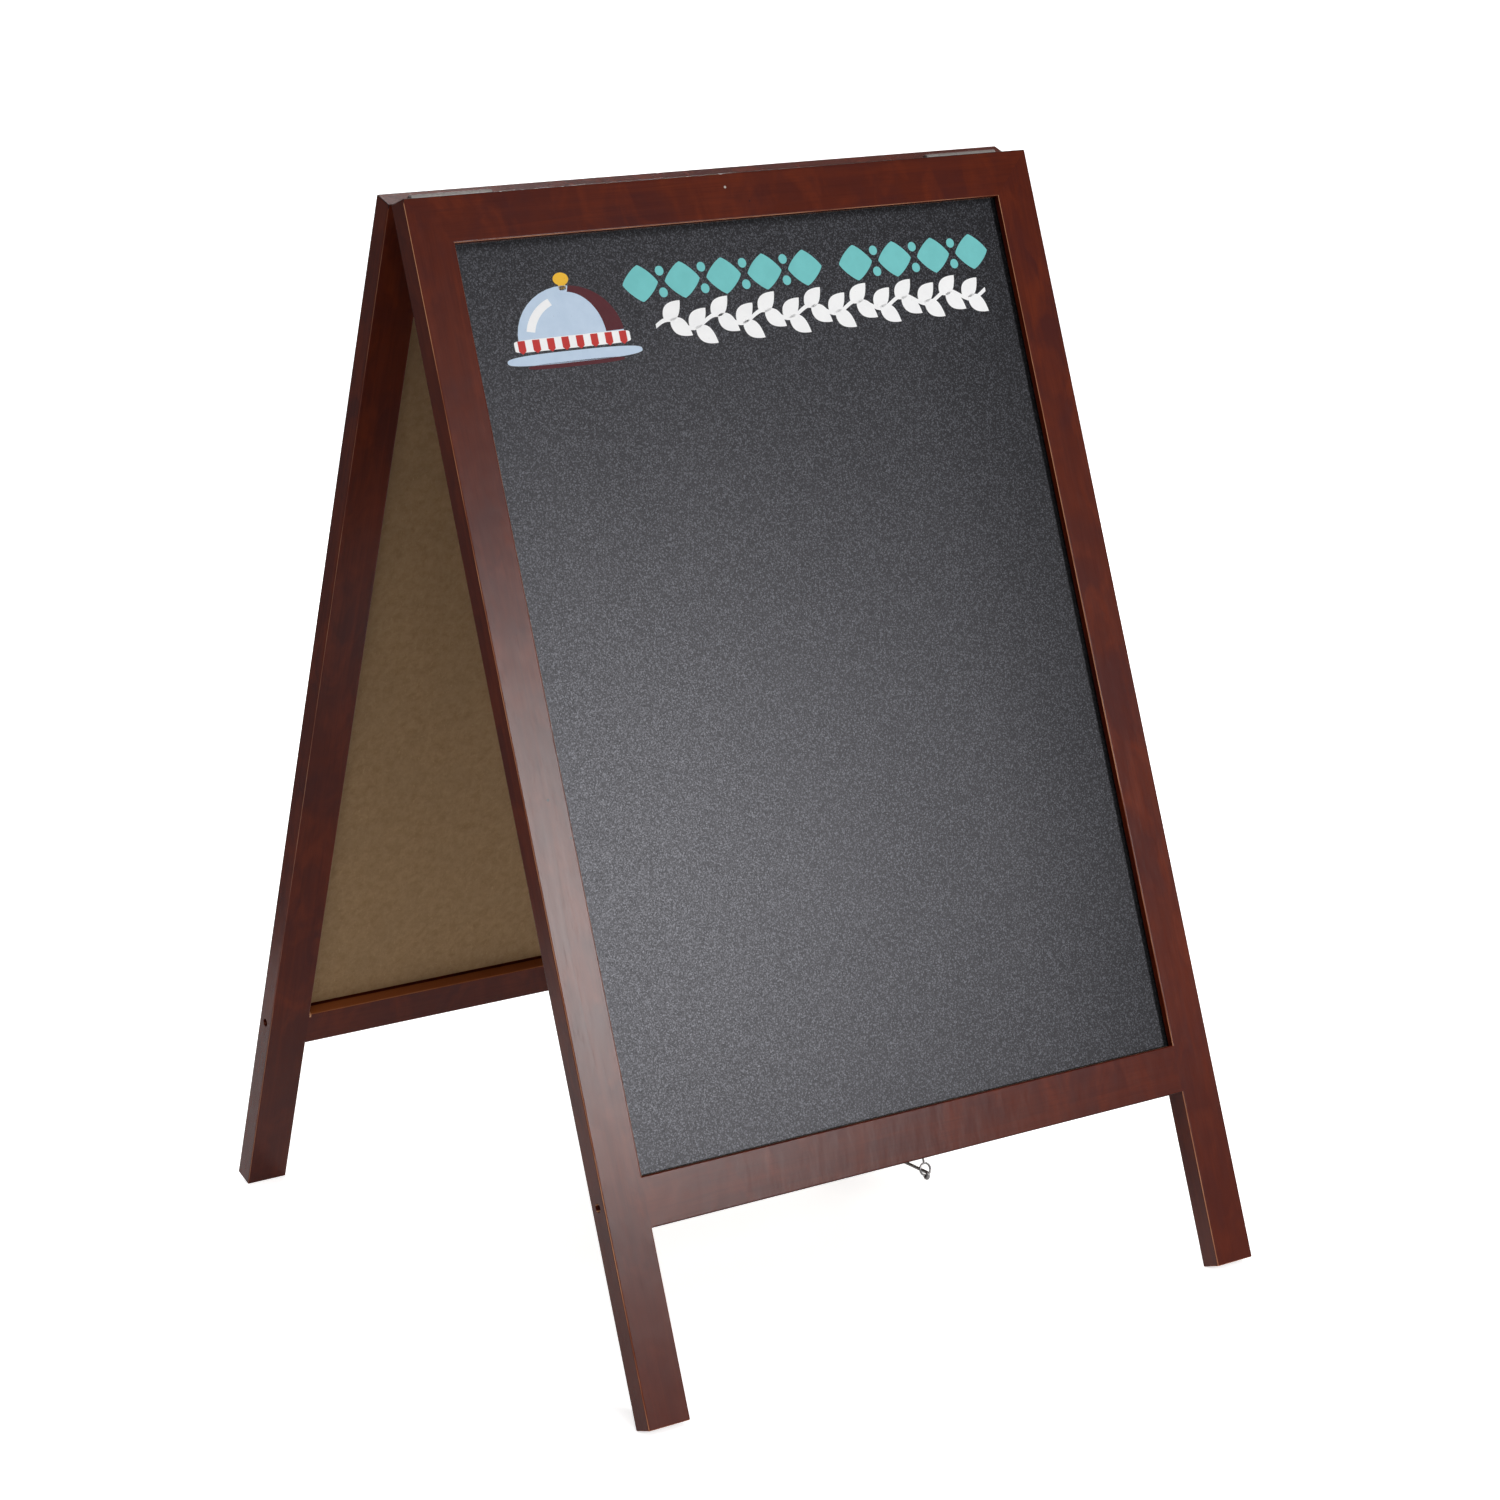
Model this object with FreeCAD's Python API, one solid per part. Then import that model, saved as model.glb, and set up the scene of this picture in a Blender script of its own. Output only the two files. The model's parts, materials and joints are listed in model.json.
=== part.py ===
"""Folding two-sided chalkboard easel (A-frame), in millimetres.

Two identical framed leaves are hinged along their inner top edges and held open by a
hooked wire stay between the bottom rails.  World frame: +Z up, X along the hinge axis,
the front leaf faces -Y, and the origin is on the floor under the middle of the hinge.

Each leaf is drawn flat in its own coordinates and then turned into place:
  x  across the leaf, s  down the leaf from its top edge, n  inwards from its outer face.
"""
import FreeCAD
import Part
import math
import os

# ---- driving dimensions -------------------------------------------------------------
FRAME_WIDTH = 545.0           # outside width of a leaf
LEG_LENGTH = 864.0            # length of a stile, from top edge to foot
MEMBER_WIDTH = 34.0           # face width of the stiles and the top rail
MEMBER_THICK = 18.0           # thickness of the wood
BOTTOM_RAIL_TOP = 694.0       # s of the bottom rail's top edge
BOTTOM_RAIL_WIDTH = 36.0      # its face width
HALF_ANGLE = 19.6             # lean of each leaf from vertical, open
EASED_EDGE = 1.0              # rounding of the sanded edges

FACE_SETBACK = 5.0            # chalk face behind the frame's face
CHALK_THICK = 0.5             # black writing sheet, bonded to the board inside the opening
CHALK_EDGE_GAP = 0.15         # sheet to the opening's edge
BOARD_THICK = 2.5             # hardboard behind it
BOARD_PLAY = 0.05             # glue line each side of the board
GROOVE_DEPTH = 8.0            # board's groove in the stiles and the top rail
REBATE_HEIGHT = 8.0           # open rebate along the back of the bottom rail
BOARD_END_GAP = 1.0           # board to groove bottom
BOARD_FOOT_GAP = 3.0          # board to the rebate's floor

HINGE_GAP = 1.0               # between the inner faces when the leaves are closed
HINGE_RISE = 3.2              # pin axis above the top edges, along the leaf
HINGE_LENGTH = 65.0
HINGE_CENTRE = 224.0          # of each hinge, from the middle of the frame
HINGE_PLATE_THICK = 1.2
HINGE_PLATE_DROP = 21.0       # plate reaches this far below the top edge
HINGE_PLATE_CLEAR = 0.15      # plate to the closed leaves' middle plane
KNUCKLES = 5
KNUCKLE_RADIUS = 3.0
KNUCKLE_END_PLAY = 0.15
PIN_RADIUS = 1.5
PIN_HEAD_RADIUS = 2.2
PIN_HEAD_THICK = 0.8
RUNNING_PLAY = 0.05

HINGE_SCREW_RADIUS = 1.5
HINGE_SCREW_HEAD_RADIUS = 2.7
HINGE_SCREW_LENGTH = 12.0
HINGE_SCREW_SPACING = 23.0
HINGE_SCREW_ROWS = (7.5, 15.0)      # s of the outer screws and of the middle one

RAIL_SCREW_N = 9.0            # mid-thickness
RAIL_SCREW_DROP = 14.5        # below the bottom rail's top edge
RAIL_SCREW_RADIUS = 1.75
RAIL_SCREW_LENGTH = 45.0
RAIL_SCREW_HEAD_RADIUS = 3.0
RAIL_SCREW_HEAD_THICK = 2.5
COUNTERBORE_RADIUS = 3.25
COUNTERBORE_DEPTH = 6.0

RAIL_DOWEL_RADIUS = 3.0
RAIL_DOWEL_LENGTH = 30.0
RAIL_DOWEL_RISE = 7.0         # dowel axis above the bottom rail's underside
CORNER_DOWEL_RADIUS = 2.5
CORNER_DOWEL_LENGTH = 18.0
CORNER_DOWEL_STATIONS = (12.0, 21.0)   # along the mitre, measured on x and on s
GLUE_PLAY = 0.05

EYE_WIRE_RADIUS = 0.8
EYE_RADIUS = 4.4              # ring, to the middle of its wire
EYE_DROP = 8.6                # ring centre below the bottom rail
EYE_THREAD = 14.0             # shank inside the rail
EYE_SLOT = 0.9                # gap where the ring's wire ends beside the shank

STAY_RADIUS = 1.2
STAY_PLAY = 0.3               # round the wire of the screw eyes
STAY_LOOP_TURN = 255.0        # bend of the front loop, from the rod round to its cut end
STAY_HOOK_RISE = 39.0         # angle of the hook's tip above the rod
STAY_TIP_LENGTH = 5.0         # straight tip beyond the hook's bend

# ---- derived ------------------------------------------------------------------------
HALF_WIDTH = FRAME_WIDTH / 2
OPENING_HALF = HALF_WIDTH - MEMBER_WIDTH
BOTTOM_RAIL_FOOT = BOTTOM_RAIL_TOP + BOTTOM_RAIL_WIDTH
REBATE_FLOOR = BOTTOM_RAIL_TOP + REBATE_HEIGHT
GROOVE_FRONT = FACE_SETBACK + CHALK_THICK
GROOVE_BACK = GROOVE_FRONT + BOARD_THICK + 2 * BOARD_PLAY
BOARD_FRONT = GROOVE_FRONT + BOARD_PLAY
AXIS_N = MEMBER_THICK + HINGE_GAP / 2
MIDDLE_N = MEMBER_THICK / 2
RAIL_SCREW_S = BOTTOM_RAIL_TOP + RAIL_SCREW_DROP
EYE_S = BOTTOM_RAIL_FOOT + EYE_DROP
STAY_LOOP_RADIUS = EYE_WIRE_RADIUS + STAY_PLAY + STAY_RADIUS
LEAN = math.radians(HALF_ANGLE)
# The foot stands on its eased inner edge, which sets the height of the hinge axis.
AXIS_HEIGHT = ((LEG_LENGTH - EASED_EDGE + HINGE_RISE) * math.cos(LEAN)
               - (HINGE_GAP / 2 + EASED_EDGE) * math.sin(LEAN) + EASED_EDGE)

LEAVES = ("front", "rear")
SIDES = ("left", "right")
OVERRUN = 1.0                 # cutters stand this far past what they cut

Vec = FreeCAD.Vector
X_AXIS = Vec(1, 0, 0)
Y_AXIS = Vec(0, 1, 0)
Z_AXIS = Vec(0, 0, 1)


# ---- leaf coordinates ---------------------------------------------------------------
def leaf_point(x, s, n):
    """Point of a flat leaf whose hinge axis is the X axis."""
    return Vec(x, n - AXIS_N, -HINGE_RISE - s)


def leaf_box(x0, x1, s0, s1, n0, n1):
    return Part.makeBox(x1 - x0, n1 - n0, s1 - s0, leaf_point(x0, s1, n0))


def leaf_prism(outline):
    """Prism through the whole thickness of the leaf, from (x, s) corners."""
    points = [leaf_point(x, s, -OVERRUN) for x, s in outline]
    face = Part.Face(Part.makePolygon(points + points[:1]))
    return face.extrude(Y_AXIS * (MEMBER_THICK + 2 * OVERRUN))


def place(shape, leaf):
    """Stand a flat leaf's shape up at its lean, on the front or the rear."""
    placed = shape.copy()
    lean = -HALF_ANGLE
    if leaf == "rear":
        placed.rotate(Vec(0, 0, 0), Z_AXIS, 180)
        lean = HALF_ANGLE
    placed.rotate(Vec(0, 0, 0), X_AXIS, lean)
    placed.translate(Vec(0, 0, AXIS_HEIGHT))
    return placed


def side_sign(leaf, side):
    """Sign of the flat leaf's x on the left (-X) or right (+X) of the standing easel."""
    sign = -1 if side == "left" else 1
    return -sign if leaf == "rear" else sign


def world_yz(leaf, s, n):
    """Standing position of a point on the leaf's centre line."""
    point = place(Part.Vertex(leaf_point(0, s, n)), leaf).Point
    return point.y, point.z


# ---- fasteners and dowels in leaf coordinates -----------------------------------------
def cross_recess(centre, outward, across):
    """Two crossed slots for a driver, sunk into a head whose face is at centre."""
    depth, long_side, short_side = 0.8, 1.7 * HINGE_SCREW_RADIUS, 0.6
    up = outward.cross(across)
    slots = []
    for first, second in ((across, up), (up, across)):
        corner = centre - first * (long_side / 2) - second * (short_side / 2) - outward * depth
        corners = [corner, corner + first * long_side,
                   corner + first * long_side + second * short_side,
                   corner + second * short_side]
        face = Part.Face(Part.makePolygon(corners + corners[:1]))
        slots.append(face.extrude(outward * (depth + OVERRUN)))
    return slots[0].fuse(slots[1])


def hinge_screw_places():
    """(x, s) of the screws of both hinge plates of a leaf."""
    outer_row, middle_row = HINGE_SCREW_ROWS
    places = []
    for centre in (-HINGE_CENTRE, HINGE_CENTRE):
        places.append((centre - HINGE_SCREW_SPACING, outer_row))
        places.append((centre, middle_row))
        places.append((centre + HINGE_SCREW_SPACING, outer_row))
    return places


def hinge_screw(x, s, play=0.0):
    """Countersunk screw driven outwards through the hinge plate; play fattens it."""
    top = leaf_point(x, s, AXIS_N - HINGE_PLATE_CLEAR)
    head_depth = HINGE_PLATE_THICK
    radius = HINGE_SCREW_RADIUS + play
    head = Part.makeCone(HINGE_SCREW_HEAD_RADIUS + play, radius, head_depth, top, -Y_AXIS)
    point_length = 2.5
    shank_length = HINGE_SCREW_LENGTH - head_depth - point_length
    shank = Part.makeCylinder(radius, shank_length, top - Y_AXIS * head_depth, -Y_AXIS)
    point = Part.makeCone(radius, 0.3, point_length + play,
                          top - Y_AXIS * (head_depth + shank_length), -Y_AXIS)
    screw = head.fuse([shank, point])
    if play:
        return screw
    return screw.cut(cross_recess(top, Y_AXIS, X_AXIS))


def rail_screw(sign):
    """Screw through a stile into the end of the bottom rail, its head in a counterbore."""
    seat = leaf_point(sign * (HALF_WIDTH - COUNTERBORE_DEPTH), RAIL_SCREW_S, RAIL_SCREW_N)
    outward = X_AXIS * sign
    head = Part.makeCylinder(RAIL_SCREW_HEAD_RADIUS, RAIL_SCREW_HEAD_THICK, seat, outward)
    point_length = 4.0
    shank_length = RAIL_SCREW_LENGTH - point_length
    shank = Part.makeCylinder(RAIL_SCREW_RADIUS, shank_length, seat, -outward)
    point = Part.makeCone(RAIL_SCREW_RADIUS, 0.3, point_length,
                          seat - outward * shank_length, -outward)
    recess = cross_recess(seat + outward * RAIL_SCREW_HEAD_THICK, outward, Y_AXIS)
    return head.fuse([shank, point]).cut(recess)


def rail_screw_hole(sign):
    seat = leaf_point(sign * (HALF_WIDTH - COUNTERBORE_DEPTH), RAIL_SCREW_S, RAIL_SCREW_N)
    outward = X_AXIS * sign
    bore = Part.makeCylinder(COUNTERBORE_RADIUS, COUNTERBORE_DEPTH + OVERRUN, seat, outward)
    pilot = Part.makeCylinder(RAIL_SCREW_RADIUS + GLUE_PLAY, RAIL_SCREW_LENGTH + GLUE_PLAY,
                              seat, -outward)
    return bore.fuse(pilot)


def rail_dowel(sign, play=0.0):
    length = RAIL_DOWEL_LENGTH + 2 * play
    start = leaf_point(sign * OPENING_HALF, BOTTOM_RAIL_FOOT - RAIL_DOWEL_RISE, MIDDLE_N)
    return Part.makeCylinder(RAIL_DOWEL_RADIUS + play, length, start - X_AXIS * (length / 2),
                             X_AXIS)


def corner_dowels(sign, play=0.0):
    """Two dowels square across the mitre between a stile and the top rail."""
    length = CORNER_DOWEL_LENGTH + 2 * play
    across = Vec(sign, 0, -1).normalize()
    dowels = []
    for station in CORNER_DOWEL_STATIONS:
        middle = leaf_point(sign * (HALF_WIDTH - station), station, MIDDLE_N)
        dowels.append(Part.makeCylinder(CORNER_DOWEL_RADIUS + play, length,
                                        middle - across * (length / 2), across))
    return dowels


def stay_eye(play=0.0):
    """Screw eye under the middle of the bottom rail, its ring in the leaf's plane."""
    centre = leaf_point(0, EYE_S, MIDDLE_N)
    radius = EYE_WIRE_RADIUS + play
    point_length = 3.0
    shank_length = EYE_DROP - EYE_RADIUS + EYE_THREAD - point_length
    shank_start = centre + Z_AXIS * EYE_RADIUS
    shank = Part.makeCylinder(radius, shank_length, shank_start, Z_AXIS)
    point = Part.makeCone(radius, 0.2, point_length + play, shank_start + Z_AXIS * shank_length,
                          Z_AXIS)
    screw = shank.fuse(point)
    if play:
        return screw
    slot = Part.makeBox(EYE_SLOT, 4 * EYE_WIRE_RADIUS, 4 * EYE_WIRE_RADIUS,
                        Vec(EYE_WIRE_RADIUS, -2 * EYE_WIRE_RADIUS, -2 * EYE_WIRE_RADIUS))
    slot.translate(shank_start)
    ring = Part.makeTorus(EYE_RADIUS, EYE_WIRE_RADIUS, centre, Y_AXIS).cut(slot)
    return screw.fuse(ring)


# ---- wooden frame -------------------------------------------------------------------
def eased(frame):
    """Round every edge of the frame's outer and inner faces and its outside corners."""
    outer_y = leaf_point(0, 0, 0).y
    inner_y = leaf_point(0, 0, MEMBER_THICK).y
    chosen = []
    for edge in frame.Edges:
        ends = [vertex.Point for vertex in edge.Vertexes]
        on_face = any(all(abs(p.y - y) < 1e-6 for p in ends) for y in (outer_y, inner_y))
        through = abs(ends[0].y - ends[1].y) > MEMBER_THICK - 1e-6
        at_top = abs(ends[0].z - leaf_point(0, 0, 0).z) < 1e-6
        at_foot = abs(ends[0].z - leaf_point(0, LEG_LENGTH, 0).z) < 1e-6
        if on_face or (through and (at_top or at_foot)):
            chosen.append(edge)
    return frame.makeFillet(EASED_EDGE, chosen)


def hinge_mortises():
    """Shallow pockets for the plates, with the holes for their screws."""
    pockets = []
    for centre in (-HINGE_CENTRE, HINGE_CENTRE):
        pockets.append(leaf_box(centre - HINGE_LENGTH / 2, centre + HINGE_LENGTH / 2,
                                -OVERRUN, HINGE_PLATE_DROP,
                                AXIS_N - HINGE_PLATE_CLEAR - HINGE_PLATE_THICK,
                                MEMBER_THICK + OVERRUN))
    screws = [hinge_screw(x, s, GLUE_PLAY) for x, s in hinge_screw_places()]
    return pockets + screws


def frame_blank():
    """The four members of a leaf as one body: openings, grooves and holes cut."""
    blank = leaf_box(-HALF_WIDTH, HALF_WIDTH, 0, LEG_LENGTH, 0, MEMBER_THICK)
    window = leaf_box(-OPENING_HALF, OPENING_HALF, MEMBER_WIDTH, BOTTOM_RAIL_TOP,
                      -OVERRUN, MEMBER_THICK + OVERRUN)
    rebate = leaf_box(-OPENING_HALF, OPENING_HALF, BOTTOM_RAIL_TOP - OVERRUN, REBATE_FLOOR,
                      GROOVE_FRONT, MEMBER_THICK + OVERRUN)
    foot_gap = leaf_box(-OPENING_HALF, OPENING_HALF, BOTTOM_RAIL_FOOT, LEG_LENGTH + OVERRUN,
                        -OVERRUN, MEMBER_THICK + OVERRUN)
    blank = eased(blank.cut([window, rebate, foot_gap]))
    groove_half = OPENING_HALF + GROOVE_DEPTH
    groove = leaf_box(-groove_half, groove_half, MEMBER_WIDTH - GROOVE_DEPTH, REBATE_FLOOR,
                      GROOVE_FRONT, GROOVE_BACK)
    cutters = [groove, stay_eye(GLUE_PLAY)] + hinge_mortises()
    for sign in (-1, 1):
        cutters += [rail_screw_hole(sign), rail_dowel(sign, GLUE_PLAY)]
        cutters += corner_dowels(sign, GLUE_PLAY)
    return blank.cut(cutters)


def stile_region(sign):
    """Stile outline: mitred against the top rail, running down to the foot."""
    outside = HALF_WIDTH + OVERRUN
    return leaf_prism([(sign * outside, -OVERRUN), (sign * OPENING_HALF, MEMBER_WIDTH),
                       (sign * OPENING_HALF, LEG_LENGTH + OVERRUN),
                       (sign * outside, LEG_LENGTH + OVERRUN)])


def top_rail_region():
    outside = HALF_WIDTH + OVERRUN
    return leaf_prism([(-outside, -OVERRUN), (outside, -OVERRUN),
                       (OPENING_HALF, MEMBER_WIDTH), (-OPENING_HALF, MEMBER_WIDTH)])


def bottom_rail_region():
    return leaf_prism([(-OPENING_HALF, BOTTOM_RAIL_TOP - OVERRUN),
                       (OPENING_HALF, BOTTOM_RAIL_TOP - OVERRUN),
                       (OPENING_HALF, BOTTOM_RAIL_FOOT + OVERRUN),
                       (-OPENING_HALF, BOTTOM_RAIL_FOOT + OVERRUN)])


def chalk_sheet():
    """Writing sheet that just fills the opening, so that its whole face is in the open."""
    half = OPENING_HALF - CHALK_EDGE_GAP
    return leaf_box(-half, half, MEMBER_WIDTH + CHALK_EDGE_GAP,
                    BOTTOM_RAIL_TOP - CHALK_EDGE_GAP, BOARD_FRONT - CHALK_THICK, BOARD_FRONT)


def backing_board():
    """Board held in the groove and standing behind the bottom rail's lip."""
    half = OPENING_HALF + GROOVE_DEPTH - BOARD_END_GAP
    return leaf_box(-half, half, MEMBER_WIDTH - GROOVE_DEPTH + BOARD_END_GAP,
                    REBATE_FLOOR - BOARD_FOOT_GAP, BOARD_FRONT, BOARD_FRONT + BOARD_THICK)


# ---- butt hinges --------------------------------------------------------------------
def knuckle_span(centre, index, play):
    pitch = HINGE_LENGTH / KNUCKLES
    start = centre - HINGE_LENGTH / 2 + index * pitch
    return start + play, pitch - 2 * play


def axis_cylinder(start, length, radius):
    return Part.makeCylinder(radius, length, Vec(start, 0, 0), X_AXIS)


def hinge_plate(centre, owned, bore_radius):
    """Plate let into the inner face, rolled round the pin at its own knuckles."""
    top = AXIS_N - HINGE_PLATE_CLEAR
    plate = leaf_box(centre - HINGE_LENGTH / 2, centre + HINGE_LENGTH / 2,
                     -HINGE_RISE, HINGE_PLATE_DROP, top - HINGE_PLATE_THICK, top)
    knuckles, notches = [], []
    for index in range(KNUCKLES):
        if index in owned:
            play = 0.0 if 0 in owned else KNUCKLE_END_PLAY
            start, length = knuckle_span(centre, index, play)
            knuckles.append(axis_cylinder(start, length, KNUCKLE_RADIUS))
        else:
            start, length = knuckle_span(centre, index, -KNUCKLE_END_PLAY)
            notches.append(axis_cylinder(start, length, KNUCKLE_RADIUS + 5 * RUNNING_PLAY))
    plate = plate.cut(notches).fuse(knuckles)
    bore = axis_cylinder(centre - HINGE_LENGTH, 2 * HINGE_LENGTH, bore_radius)
    screws = [hinge_screw(x, s, RUNNING_PLAY) for x, s in hinge_screw_places()
              if abs(x - centre) < HINGE_LENGTH / 2]
    return plate.cut([bore] + screws)


def hinge_pin(centre):
    """Headed pin along the world X axis, at the hinge axis's height."""
    start = centre - HINGE_LENGTH / 2
    pin = axis_cylinder(start, HINGE_LENGTH, PIN_RADIUS)
    heads = [axis_cylinder(start - PIN_HEAD_THICK, PIN_HEAD_THICK, PIN_HEAD_RADIUS),
             axis_cylinder(start + HINGE_LENGTH, PIN_HEAD_THICK, PIN_HEAD_RADIUS)]
    pin = pin.fuse(heads)
    pin.translate(Vec(0, 0, AXIS_HEIGHT))
    return pin


# ---- wire stay ----------------------------------------------------------------------
def stay_rod():
    """Bent wire: a loop round the front eye, a straight rod, a hook in the rear eye.

    The rod leaves the top of its loop and runs down a little to the bottom of its hook.
    """
    front = world_yz("front", EYE_S + EYE_RADIUS, MIDDLE_N)
    rear = world_yz("rear", EYE_S + EYE_RADIUS, MIDDLE_N)

    def around(centre, angle):
        """Point on a bend of the wire; angle 0 is straight back, -90 is straight down."""
        turn = math.radians(angle)
        return Vec(0, centre[0] + STAY_LOOP_RADIUS * math.cos(turn),
                   centre[1] + STAY_LOOP_RADIUS * math.sin(turn))

    dip = math.degrees(math.asin(2 * STAY_LOOP_RADIUS / (rear[0] - front[0])))
    loop_start_angle, loop_end_angle = 90.0 - dip + STAY_LOOP_TURN, 90.0 - dip
    hook_start_angle, hook_end_angle = -90.0 - dip, 90.0 - STAY_HOOK_RISE
    loop_start = around(front, loop_start_angle)
    loop_middle = around(front, (loop_start_angle + loop_end_angle) / 2)
    loop_end = around(front, loop_end_angle)
    hook_start = around(rear, hook_start_angle)
    hook_middle = around(rear, (hook_start_angle + hook_end_angle) / 2)
    hook_end = around(rear, hook_end_angle)
    rise = math.radians(STAY_HOOK_RISE)
    tip_end = hook_end + Vec(0, -math.cos(rise), math.sin(rise)) * STAY_TIP_LENGTH
    path = Part.Wire([Part.Arc(loop_start, loop_middle, loop_end).toShape(),
                      Part.LineSegment(loop_end, hook_start).toShape(),
                      Part.Arc(hook_start, hook_middle, hook_end).toShape(),
                      Part.LineSegment(hook_end, tip_end).toShape()])
    start = math.radians(loop_start_angle)
    section = Part.Wire([Part.makeCircle(STAY_RADIUS, loop_start,
                                         Vec(0, math.sin(start), -math.cos(start)))])
    rod = path.makePipeShell([section], True, False)
    return rod.fuse(Part.makeSphere(STAY_RADIUS, tip_end))


# ---- assembly -----------------------------------------------------------------------
def leaf_nodes(leaf):
    blank = frame_blank()
    nodes = {
        "top_rail": blank.common(top_rail_region()),
        "bottom_rail": blank.common(bottom_rail_region()),
        "chalk_sheet": chalk_sheet(),
        "backing_board": backing_board(),
        "corner_dowels": Part.makeCompound(corner_dowels(-1) + corner_dowels(1)),
        "rail_dowels": Part.makeCompound([rail_dowel(-1), rail_dowel(1)]),
        "rail_screws": Part.makeCompound([rail_screw(-1), rail_screw(1)]),
        "stay_eye": stay_eye(),
        "hinge_screws": Part.makeCompound([hinge_screw(x, s)
                                           for x, s in hinge_screw_places()]),
    }
    for side in SIDES:
        nodes[side + "_stile"] = blank.common(stile_region(side_sign(leaf, side)))
    return {leaf + "_" + name: place(shape, leaf) for name, shape in nodes.items()}


def hinge_nodes():
    own_knuckles = {"front": (0, 2, 4), "rear": (1, 3)}
    bore = {"front": PIN_RADIUS, "rear": PIN_RADIUS + RUNNING_PLAY}
    nodes = {}
    for side in SIDES:
        for leaf in LEAVES:
            plate = hinge_plate(side_sign(leaf, side) * HINGE_CENTRE, own_knuckles[leaf],
                                bore[leaf])
            nodes[side + "_hinge_" + leaf + "_plate"] = place(plate, leaf)
        nodes[side + "_hinge_pin"] = hinge_pin(side_sign("front", side) * HINGE_CENTRE)
    return nodes


def build():
    nodes = {}
    for leaf in LEAVES:
        nodes.update(leaf_nodes(leaf))
    nodes.update(hinge_nodes())
    nodes["stay_rod"] = stay_rod()
    return nodes


def main():
    os.makedirs("parts", exist_ok=True)
    for name, shape in build().items():
        shape.exportStep("parts/" + name + ".step")
        volume = sum(solid.Volume for solid in shape.Solids)
        print("%-28s %2d solids %10.1f mm3 valid %s" % (name, len(shape.Solids), volume,
                                                        shape.isValid()))


main()
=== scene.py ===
"""Looks of the folding chalkboard easel: materials, printed heading, studio and camera.

The CAD nodes carry the shape.  "Leaf axes" below are the axes of a leaf laid flat, in
millimetres: x across it, y inwards from its outer face, z up from its top edge.  Where
a distance is given as "down", it is measured from the leaf's top edge towards its foot.
"""
import json
import math

import bmesh
import bpy
from mathutils import Matrix, Vector


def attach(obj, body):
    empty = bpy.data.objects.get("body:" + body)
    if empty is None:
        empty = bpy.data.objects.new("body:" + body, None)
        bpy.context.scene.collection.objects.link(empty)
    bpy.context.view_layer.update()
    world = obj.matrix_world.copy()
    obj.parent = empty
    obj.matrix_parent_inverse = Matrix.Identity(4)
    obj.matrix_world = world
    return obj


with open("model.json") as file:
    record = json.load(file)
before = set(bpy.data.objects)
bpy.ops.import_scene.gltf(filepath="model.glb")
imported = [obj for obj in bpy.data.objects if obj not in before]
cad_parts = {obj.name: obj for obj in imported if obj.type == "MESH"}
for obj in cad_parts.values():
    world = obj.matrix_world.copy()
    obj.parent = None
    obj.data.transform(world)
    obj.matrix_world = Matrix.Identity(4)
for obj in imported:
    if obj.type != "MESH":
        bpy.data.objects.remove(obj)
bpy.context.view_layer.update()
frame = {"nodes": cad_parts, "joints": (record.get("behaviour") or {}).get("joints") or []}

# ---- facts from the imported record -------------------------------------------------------
FOLD = frame["joints"][0]
AXIS_HEIGHT = FOLD["pos_m"][2]
LEAN = math.radians(FOLD["range_deg"][1] / 2)
NODES = frame["nodes"]

MM = 0.001
AXIS_Y = 18.5                   # hinge axis, behind the frame's face
AXIS_RISE = 3.2                 # hinge axis, above the top edge
CHALK_Y = 5.05                  # writing face, behind the frame's face
LEDGE_FROM = 8.1                # y where the bottom rail's rebate starts, behind the board
LEDGE_TO = 702.6                # how far down the rebate's painted light reaches
RAIL_END_FROM = 237.0           # pale line at the bottom rail's ends: x where it starts
RAIL_END_TO = 705.0             # and how far down it reaches


def leaf_turn(leaf):
    """Euler angles that turn world directions into leaf axes (X first, then Z)."""
    if leaf == "front":
        return (LEAN, 0.0, 0.0)
    return (-LEAN, 0.0, math.pi)


def leaf_offset(leaf):
    """Added after scaling to millimetres and turning, to finish in leaf axes."""
    turn = Matrix.Rotation(leaf_turn(leaf)[0], 3, "X")
    turn = Matrix.Rotation(leaf_turn(leaf)[2], 3, "Z") @ turn
    moved = turn @ Vector((0.0, 0.0, -AXIS_HEIGHT / MM))
    return moved + Vector((0.0, AXIS_Y, AXIS_RISE))


def leaf_to_world(leaf):
    """Matrix that puts leaf axes (mm) into the world (m)."""
    lean = -LEAN if leaf == "front" else LEAN
    turn = Matrix.Rotation(lean, 4, "X")
    if leaf == "rear":
        turn = turn @ Matrix.Rotation(math.pi, 4, "Z")
    lift = Matrix.Translation((0.0, 0.0, AXIS_HEIGHT))
    start = Matrix.Translation((0.0, -AXIS_Y, -AXIS_RISE))
    return lift @ turn @ Matrix.Scale(MM, 4) @ start


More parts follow.
